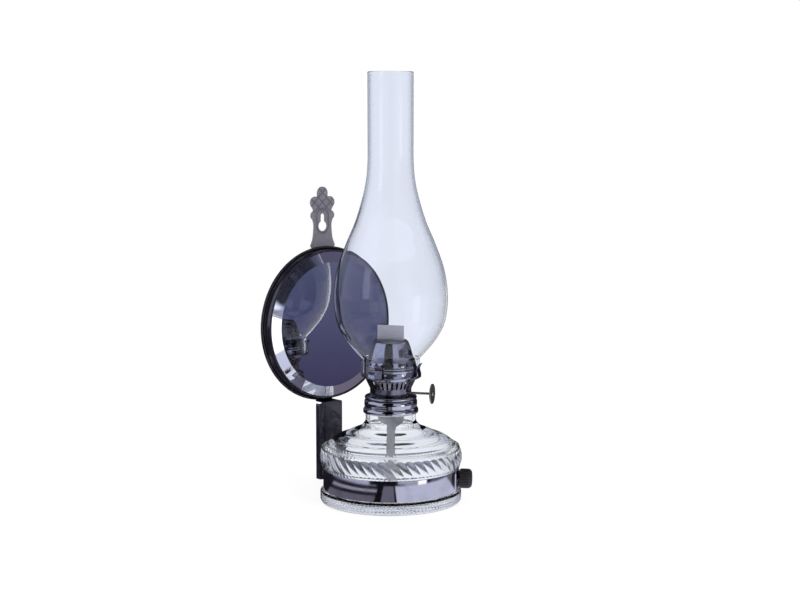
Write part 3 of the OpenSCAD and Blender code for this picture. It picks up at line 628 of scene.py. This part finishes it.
nickel = metal("nickel_plate", Color=(0.62, 0.62, 0.67), Dull_Color=(0.52, 0.52, 0.57), Roughness=0.08,
               Dull_Roughness=0.13, Patch_Size=90.0, Ring_Size=2500.0, Ring_Depth=0.1)
finish_cad(nickel, ["font_collar", "strap_rivets", "clamp_stud", "clamp_washer",
                    "burner_base", "gallery_ring", "prong_rivets"], 0.15 * mm)
dark_nickel = metal("dark_nickel_plate", Color=(0.25, 0.25, 0.3), Dull_Color=(0.14, 0.14, 0.17),
                    Roughness=0.16, Dull_Roughness=0.3, Patch_Size=150.0, Ring_Size=1800.0, Ring_Depth=0.2)
finish_cad(dark_nickel, ["air_basket", "prong_1", "prong_2", "prong_3", "prong_4",
                         "burner_thread", "tube_plate", "wick_tube"], 0.1 * mm)
brass = metal("raw_brass", Color=(0.42, 0.33, 0.2), Dull_Color=(0.24, 0.18, 0.1), Roughness=0.28,
              Dull_Roughness=0.4, Patch_Size=110.0, Ring_Size=1500.0, Ring_Depth=0.2)
finish_cad(brass, ["vent_tube", "wheel_box", "spindle_bush", "spur_wheel_1", "spur_wheel_2", "knob_insert"])
steel = metal("spindle_steel", Color=(0.5, 0.5, 0.45), Dull_Color=(0.34, 0.34, 0.3), Roughness=0.34,
              Dull_Roughness=0.5, Patch_Size=200.0, Ring_Size=1500.0, Ring_Depth=0.2)
finish_cad(steel, ["raiser_spindle", "raiser_disc", "raiser_cap", "bracket_rivets"], 0.15 * mm)

# ---- Clamp strap ----
# Two bands of nickel-plated sheet hug the glass recess. Their tails leave it at the back and turn out into
# feet, riveted to the bracket. The long band steps out over the short one at the knob, whose stud joins them.
strap_t = 0.7 * mm
strap_low, strap_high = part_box("strap_long")
strap_out = recess_r + 0.05 * mm + strap_t
tail_x = 2.2 * mm
ear_w = 5.2 * mm
knob_turn = math.radians(-47)
lap = 13  # degrees on each side of the knob
joggle = 1.4
edge_r = 0.15 * mm


def ribbon(name, path, low, high, thick):
    """An upright strip along a path, thick to its left, with rounded edges."""
    section = []
    for x, y, start in ((edge_r, high - edge_r, 180), (thick - edge_r, high - edge_r, 90),
                        (thick - edge_r, low + edge_r, 0), (edge_r, low + edge_r, -90)):
        section += arc(x, y, edge_r, start, start - 90, 3)
    work = bmesh.new()
    rows = []
    for i, here in enumerate(path):
        before = (Vector(here) - Vector(path[i - 1])).normalized() if i else None
        after = (Vector(path[i + 1]) - Vector(here)).normalized() if i + 1 < len(path) else before
        before = before or after
        side = Vector((-before.y - after.y, before.x + after.x)).normalized()
        side /= side.dot(Vector((-after.y, after.x)))
        rows.append([work.verts.new((here[0] + side.x * out, here[1] + side.y * out, z))
                     for out, z in section])
    count = len(section)
    for a, b in zip(rows, rows[1:]):
        for k in range(count):
            work.faces.new((a[k], a[(k + 1) % count], b[(k + 1) % count], b[k]))
    work.faces.new(rows[0])
    work.faces.new(rows[-1][::-1])
    bmesh.ops.recalc_face_normals(work, faces=work.faces)
    mesh = bpy.data.meshes.new(name)
    work.to_mesh(mesh)
    work.free()
    mark_sharp(mesh, 20)
    return new_object(name, mesh)


tail_turn = math.degrees(math.asin((tail_x + strap_t) / strap_out))
lap_start = math.degrees(knob_turn) - lap
foot_y = strap_high.y - strap_t
strap_foot = [(tail_x + strap_t, foot_y), (tail_x + ear_w, foot_y)]
long_path = [(-x, y) for x, y in reversed(strap_foot)]
long_path += arc(0, 0, strap_out, 90 + tail_turn, 360 + lap_start, 260)
long_path += arc(0, 0, strap_out + strap_t, 360 + lap_start + joggle, 360 + lap_start + 2 * lap, 32)
short_path = arc(0, 0, strap_out, lap_start + 2 * joggle, 90 - tail_turn, 180) + strap_foot
for name, path in (("strap_long", long_path), ("strap_short", short_path)):
    strap = ribbon(name + "_rolled", path, strap_low.z, strap_high.z, strap_t)
    strap.data.materials.append(nickel)
    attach(strap, "root")
    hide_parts(name)

# ---- Burner dome ----
# A spun nickel-plated cap with a bead at its foot, a row of air holes above it and a slot for the wick. It
# snaps down over the wick tube and spreads the air on the flame.
dome_low, dome_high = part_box("burner_dome")
dome_top = dome_high.z
dome_h = dome_top - dome_low.z + 2 * mm
dome_r = dome_high.x - 0.6 * mm
dome_t = 0.6 * mm
dome_bead = dome_low.z + 6.8 * mm
bead_half = 0.7 * mm
hole_z = dome_low.z + 10.5 * mm
hole_r = 1.7 * mm
hole_count = 20
burner_turn = math.radians(-55)
slot_half_w = 14.9 * mm
slot_half_d = 4.3 * mm


def dome_side(t):
    """The dome's section, t inside its outer face."""
    wall = ((0.86, 0.44), (0.78, 0.24), (0.7, 0.1), (0.655, 0.062), (0.59, 0.035), (0.35, 0.008))
    bead = arc(dome_r - t - 0.1 * mm, dome_bead, bead_half, -50, 50, 6)
    spots = [(dome_r * 0.985 - t, dome_bead + 1.3 * mm), (dome_r * 0.96 - t, hole_z + 1.6 * mm)]
    spots += [(dome_r * out - t * (0.4 + out * 0.6), dome_top - dome_h * drop - t * (1 - out) * 1.6)
              for out, drop in wall]
    return ([(dome_r - t, dome_low.z), (dome_r - t, dome_bead - 1.1 * mm)] + bead
            + smooth(spots + [(0, dome_top - t)], 6))


def cut_out(piece, cutters):
    """Cuts the cutter meshes out of a piece, and keeps the result as its mesh."""
    tool = new_object(piece.name + "_cutter", bpy.data.meshes.new("cutter"))
    cutters.to_mesh(tool.data)
    cutters.free()
    cut = piece.modifiers.new("cut", "BOOLEAN")
    cut.operation = "DIFFERENCE"
    cut.solver = "EXACT"
    cut.object = tool
    settled = piece.evaluated_get(bpy.context.evaluated_depsgraph_get())
    made = bpy.data.meshes.new_from_object(settled)
    piece.modifiers.clear()
    piece.data = made
    bpy.data.objects.remove(tool)


dome_line = spaced(dome_side(0), 0.9 * mm) + spaced(dome_side(dome_t), 1.5 * mm)[::-1]
dome = turned("burner_dome_spun", dome_line, sides=160)
holes = bmesh.new()
for k in range(hole_count):
    a = burner_turn + 2 * math.pi * k / hole_count
    spot = Matrix.Translation((dome_r * math.cos(a), dome_r * math.sin(a), hole_z))
    aim = Matrix.Rotation(a, 4, "Z") @ Matrix.Rotation(math.pi / 2, 4, "Y")
    bmesh.ops.create_cone(holes, cap_ends=True, segments=20, radius1=hole_r, radius2=hole_r, depth=8 * mm,
                          matrix=spot @ aim)
slot = (arc(slot_half_w - slot_half_d, 0, slot_half_d, -90, 90, 12)
        + arc(slot_half_d - slot_half_w, 0, slot_half_d, 90, 270, 12))
under, over = [[holes.verts.new((x * math.cos(burner_turn) - y * math.sin(burner_turn),
                                 x * math.sin(burner_turn) + y * math.cos(burner_turn), dome_top + dz))
                for x, y in slot] for dz in (-8 * mm, 2 * mm)]
for k in range(len(slot)):
    n = (k + 1) % len(slot)
    holes.faces.new((under[k], under[n], over[n], over[k]))
holes.faces.new(under[::-1])
holes.faces.new(over)
bmesh.ops.recalc_face_normals(holes, faces=holes.faces)
cut_out(dome, holes)
mark_sharp(dome.data, 32)
dome.data.materials.append(nickel)
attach(dome, "burner")
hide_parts("burner_dome")

# ---- Bracket arm ----
# A pressed channel of sheet steel with a raised panel down its face, dipped in black enamel. The clamp
# strap's tails are riveted to its foot, and it turns back behind the reflector at the top.
enamel, tree, shader = material("black_enamel", Metallic=0.0, Coat_Weight=1.0, Coat_Roughness=0.05)
flow = speckle(tree, 70, 3)
join(tree, ramp(tree, flow, [(0.3, (0.007, 0.006, 0.01)), (0.7, (0.014, 0.012, 0.02))]),
     shader.inputs["Base Color"])
dulling = node(tree, "ShaderNodeMapRange", in_1=0.35, in_2=0.75, in_3=0.14, in_4=0.3)
join(tree, flow, dulling)
join(tree, dulling.outputs[0], shader.inputs["Roughness"])
join(tree, bumped(tree, flow, 0.1, 0.2 * mm), shader.inputs["Normal"])
finish_cad(enamel, ["bracket_arm"], 0.3 * mm)

# ---- Reflector ----
# A saucer with a rolled rim backs a deep frame with a groove round its wall, and the frame's lip is crimped
# over a bevelled mirror on a card. Saucer and frame are spun steel in the same black enamel.
saucer_low, saucer_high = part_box("reflector_saucer")
mirror_low, mirror_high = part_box("mirror_glass")
centre = Vector((0, 0, (saucer_low.z + saucer_high.z) / 2))
rim_r = saucer_high.x
steel_t = 0.8 * mm
bead_r = 1.4 * mm
saucer_face = saucer_high.y - steel_t
saucer_line = [(0, saucer_face), (rim_r - 2 * bead_r, saucer_face)]
saucer_line += arc(rim_r - bead_r, saucer_high.y - bead_r, bead_r, -180, 90, 24)
saucer_line += [(0, saucer_high.y)]
saucer = turned("reflector_saucer_spun", saucer_line, sides=288, axis="Y", shift=centre, closed=False)
saucer.data.materials.append(enamel)
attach(saucer, "root")
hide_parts("reflector_saucer")

frame_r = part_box("mirror_frame")[1].x
frame_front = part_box("mirror_frame")[0].y
groove = 1.9 * mm
card_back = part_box("mirror_card")[1].y
lip_r = frame_r - steel_t - 0.9 * mm


def frame_wall(inwards):
    """The frame's wall with its groove, from the saucer to the lip."""
    r = frame_r - inwards
    return smooth([(r, saucer_face - 1 * mm), (r, card_back + 4.6 * mm), (r - groove, card_back + 2.6 * mm),
                   (r, card_back + 0.3 * mm - inwards * 0.3), (r, frame_front + 1.9 * mm)], 8)


frame_line = [(0, saucer_face), (frame_r, saucer_face)] + frame_wall(0)
frame_line += arc(frame_r - 1.2 * mm, frame_front + 1.2 * mm, 1.2 * mm, 0, -90, 8)
frame_line += arc(lip_r + 0.3 * mm, frame_front + 0.3 * mm, 0.3 * mm, -90, -180, 4)
frame_line += [(lip_r, frame_front + steel_t), (frame_r - steel_t, frame_front + steel_t)]
frame_line += frame_wall(steel_t)[::-1]
frame_line += [(frame_r - steel_t, saucer_face - steel_t), (0, saucer_face - steel_t)]
mirror_frame = turned("mirror_frame_spun", frame_line, sides=288, axis="Y", shift=centre, closed=False)
mirror_frame.data.materials.append(enamel)
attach(mirror_frame, "root")
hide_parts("mirror_frame")

silver, tree, shader = material("silvered_glass", Metallic=1.0, Coat_Weight=0.4, Coat_Roughness=0.01)
cloud = speckle(tree, 22, 6)
join(tree, ramp(tree, cloud, [(0.35, (0.8, 0.81, 0.88)), (0.75, (0.72, 0.72, 0.79))]),
     shader.inputs["Base Color"])
haze = node(tree, "ShaderNodeMapRange", in_1=0.4, in_2=0.8, in_3=0.012, in_4=0.05)
join(tree, cloud, haze)
join(tree, haze.outputs[0], shader.inputs["Roughness"])
bevel_w = 10.3 * mm
bevel_rise = 2.4 * mm
mirror_r = mirror_high.x
mirror_line = [(0, mirror_low.y), (mirror_r - bevel_w, mirror_low.y),
               (mirror_r - 0.6 * mm, mirror_low.y + bevel_rise),
               (mirror_r, mirror_low.y + bevel_rise + 0.1 * mm), (mirror_r, mirror_high.y), (0, mirror_high.y)]
mirror = turned("mirror_bevelled", mirror_line, sides=288, axis="Y", shift=centre, closed=False, angle=8)
mirror.data.materials.append(silver)
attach(mirror, "root")
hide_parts("mirror_glass")


def fine_grain(name, dark, light, size, depth, roughness, pressed=(0, 0, 0)):
    """A dull material with a fine grain, darkened towards a given colour where the mesh's attribute marks a
    groove: painted shade.
    """
    made, tree, shader = material(name, Roughness=roughness)
    grain = speckle(tree, size, 5)
    grained = ramp(tree, grain, [(0.3, dark), (0.7, light)])
    marked = node(tree, "ShaderNodeAttribute", attribute_name="pressed").outputs["Fac"]
    join(tree, mix_colour(tree, marked, grained, pressed), shader.inputs["Base Color"])
    join(tree, bumped(tree, grain, depth, 0.2 * mm), shader.inputs["Normal"])
    return made


finish_cad(fine_grain("brown_card", (0.2, 0.13, 0.07), (0.36, 0.26, 0.16), 900, 0.3, 0.9), ["mirror_card"])

# ---- Hanger ----
# A flat stamped plate in satin grey, with a keyhole and a crest of round lobes. The stamp also pressed a
# groove round the keyhole, and crossing veins into the lobes.
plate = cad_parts["hanger_plate"]
hanger_low, hanger_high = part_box("hanger_plate")
key_z = hanger_high.z - 36.5 * mm
slot_top = key_z + 9.4 * mm
stamp_from = key_z - 12 * mm
stamp_depth = 0.5 * mm
groove_r = 6.6 * mm
groove_w = 0.7 * mm
vein_gap = 6.4 * mm
vein_w = 0.6 * mm
grid_step = 0.8 * mm


def stamped(x, z):
    """How deep the stamp pushed the plate's face in here."""
    to_key = math.dist((x, z), (0, min(max(z, key_z), slot_top)))
    depth = math.exp(-((to_key - groove_r) / groove_w) ** 2)
    up = z - slot_top - 2 * mm
    if up > 0:
        for slant in (-1, 1):
            across = (x * slant + up - 6 * mm) * math.sqrt(0.5) % vein_gap - vein_gap / 2
            depth = max(depth, math.exp(-(across / vein_w) ** 2) * min(1, up / (3 * mm)))
    return depth * stamp_depth


work = bmesh.new()
work.from_mesh(plate.data)
bmesh.ops.remove_doubles(work, verts=work.verts, dist=1e-6)
levels = int((hanger_high.z - stamp_from) / grid_step) + 1
columns = int((hanger_high.x - hanger_low.x) / grid_step)
cuts = [((0, 0, stamp_from + k * grid_step), (0, 0, 1)) for k in range(levels)]
cuts += [((hanger_low.x + (k + 1) * grid_step, 0, 0), (1, 0, 0)) for k in range(columns)]
for spot, aim in cuts:
    everything = work.verts[:] + work.edges[:] + work.faces[:]
    bmesh.ops.bisect_plane(work, geom=everything, plane_co=spot, plane_no=aim, dist=1e-7)
# The stamp's depth share is kept on the mesh as the mask of painted shade in the groove and veins.
pressed = work.verts.layers.float.new("pressed")
for vert in work.verts:
    if vert.co.y < hanger_low.y + 0.01 * mm and vert.co.z > stamp_from:
        depth = stamped(vert.co.x, vert.co.z)
        vert.co.y += depth
        vert[pressed] = depth / stamp_depth
hanger_mesh = bpy.data.meshes.new("hanger_stamped")
work.to_mesh(hanger_mesh)
work.free()
mark_sharp(hanger_mesh, 40)
hanger = new_object("hanger_stamped", hanger_mesh)
# Painted shade: the groove and the veins take a darker grey than the plate.
hanger_mesh.materials.append(fine_grain("satin_grey", (0.18, 0.175, 0.21), (0.23, 0.223, 0.265),
                                        420, 0.15, 0.42, pressed=(0.1, 0.094, 0.12)))
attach(hanger, "root")
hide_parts("hanger_plate")

# ---- Clamp knob and cement ----
# The knob is moulded black plastic over a brass insert, with scallops round it for the fingers. The collar is
# set on the glass neck with plaster.
knob_low, knob_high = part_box("clamp_knob")
knob_r = (knob_high.z - knob_low.z) / 2
knob_l = 11.6 * mm
knob_ribs = 22
scallop_depth = 0.5 * mm
knob_side = [(knob_r - 1.4 * mm, 0), (knob_r - 0.4 * mm, 0.8 * mm), (knob_r, 2 * mm)]
knob_side += smooth([(knob_r, knob_l - 4.4 * mm), (knob_r * 0.97, knob_l - 2.6 * mm),
                     (knob_r * 0.84, knob_l - 1 * mm), (knob_r * 0.62, knob_l - 0.25 * mm), (0, knob_l)], 8)
knob_line = [(0, 0)] + spaced(knob_side, 0.6 * mm)


def scallops(turn, i):
    """The finger grooves, which run out towards both ends."""
    r, h = knob_line[i]
    share = max(0, min(1, (r / knob_r - 0.72) / 0.2)) * max(0, min(1, (h - 0.9 * mm) / (1.2 * mm)))
    return -scallop_depth * share * (0.5 + 0.5 * math.cos(knob_ribs * turn)) ** 2.5


knob = turned("clamp_knob_moulded", knob_line, sides=knob_ribs * 12, relief=scallops, closed=False, angle=50)
outwards = Matrix.Rotation(knob_turn, 4, "Z") @ Matrix.Rotation(math.pi / 2, 4, "Y")
knob_back = (knob_low + knob_high) / 2 - Vector((math.cos(knob_turn), math.sin(knob_turn), 0)) * knob_l / 2
knob.data.transform(Matrix.Translation(knob_back) @ outwards)
knob.data.materials.append(fine_grain("moulded_plastic", (0.009, 0.007, 0.008), (0.018, 0.014, 0.016),
                                      500, 0.08, 0.32))
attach(knob, "knob")
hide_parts("clamp_knob")
finish_cad(fine_grain("plaster", (0.62, 0.6, 0.56), (0.8, 0.78, 0.73), 700, 0.5, 0.9), ["collar_cement"])

# ---- Wick ----
# A flat woven cotton tape, 24.4 mm wide. It stands straight in the burner's tube, turns a little under it and
# hangs down into the font. Its cut top frays slightly.
wick_low, wick_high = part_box("wick")
wick_w = 24.4 * mm
wick_t = 2.0 * mm
twist_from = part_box("wick_tube")[0].z - 6 * mm
twist_height = 12 * mm
wick_twist = math.radians(-58)
thread_relief = 0.35 * mm
fray = 0.5 * mm
cells = 19
per_cell = 4
cell_h = wick_w / cells
rows = round((wick_high.z - wick_low.z) / cell_h * per_cell)
columns = cells * per_cell


def weave(i, j):
    """1 on top of a thread, 0 between threads: threads of the two directions lie on top in turn."""
    u = i / per_cell % 1
    v = j / per_cell % 1
    lengthwise = (i // per_cell + j // per_cell) % 2
    across = math.sin(math.pi * (u if lengthwise else v)) ** 0.6
    return across * (0.75 + 0.25 * math.sin(math.pi * (v if lengthwise else u)))


work = bmesh.new()
thread = work.verts.layers.float.new("thread")
sheets = []
for side in (-1, 1):
    grid = []
    for j in range(rows + 1):
        z = wick_low.z + (wick_high.z - wick_low.z) * j / rows
        below = min(1, max(0, twist_from - z) / twist_height)
        a = burner_turn + wick_twist * (3 * below ** 2 - 2 * below ** 3)
        row = []
        for i in range(columns + 1):
            u = i / columns * 2 - 1
            edge = (1 - u ** 8) ** 0.5
            over = weave(i, j)
            depth = side * edge * (wick_t / 2 + (over - 1) * thread_relief)
            x = u * wick_w / 2
            frayed = fray * abs(math.sin(i * 2.4) * math.sin(i * 0.7 + side)) if j == rows else 0
            vert = work.verts.new((x * math.cos(a) - depth * math.sin(a),
                                   x * math.sin(a) + depth * math.cos(a), z - frayed))
            vert[thread] = over
            row.append(vert)
        grid.append(row)
    sheets.append(grid)
front, back = sheets
for grid in sheets:
    for j in range(rows):
        for i in range(columns):
            work.faces.new((grid[j][i], grid[j][i + 1], grid[j + 1][i + 1], grid[j + 1][i]))
for i in range(columns):
    for j in (0, rows):
        work.faces.new((front[j][i], front[j][i + 1], back[j][i + 1], back[j][i]))
bmesh.ops.remove_doubles(work, verts=work.verts, dist=1e-6)
bmesh.ops.recalc_face_normals(work, faces=work.faces)
wick_mesh = bpy.data.meshes.new("wick_woven")
work.to_mesh(wick_mesh)
work.free()
mark_sharp(wick_mesh, 80)
wick = new_object("wick_woven", wick_mesh)
cotton, tree, shader = material("woven_cotton", Roughness=0.95, Sheen_Weight=0.3, Sheen_Roughness=0.6)
grain = speckle(tree, 700, 5)
tuft = ramp(tree, grain, [(0.3, (0.62, 0.59, 0.66)), (0.7, (0.95, 0.92, 0.98))])
# Painted shade: the colour darkens between the threads, in the hollows of the weave.
on_top = node(tree, "ShaderNodeAttribute", attribute_name="thread").outputs["Fac"]
thread_gap_shade = math_node(tree, "SUBTRACT", 1.0, math_node(tree, "POWER", on_top, 0.7))
join(tree, mix_colour(tree, thread_gap_shade, tuft, (0.13, 0.12, 0.15)), shader.inputs["Base Color"])
join(tree, bumped(tree, grain, 0.4, 0.2 * mm), shader.inputs["Normal"])
wick_mesh.materials.append(cotton)
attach(wick, "wick")
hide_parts("wick")
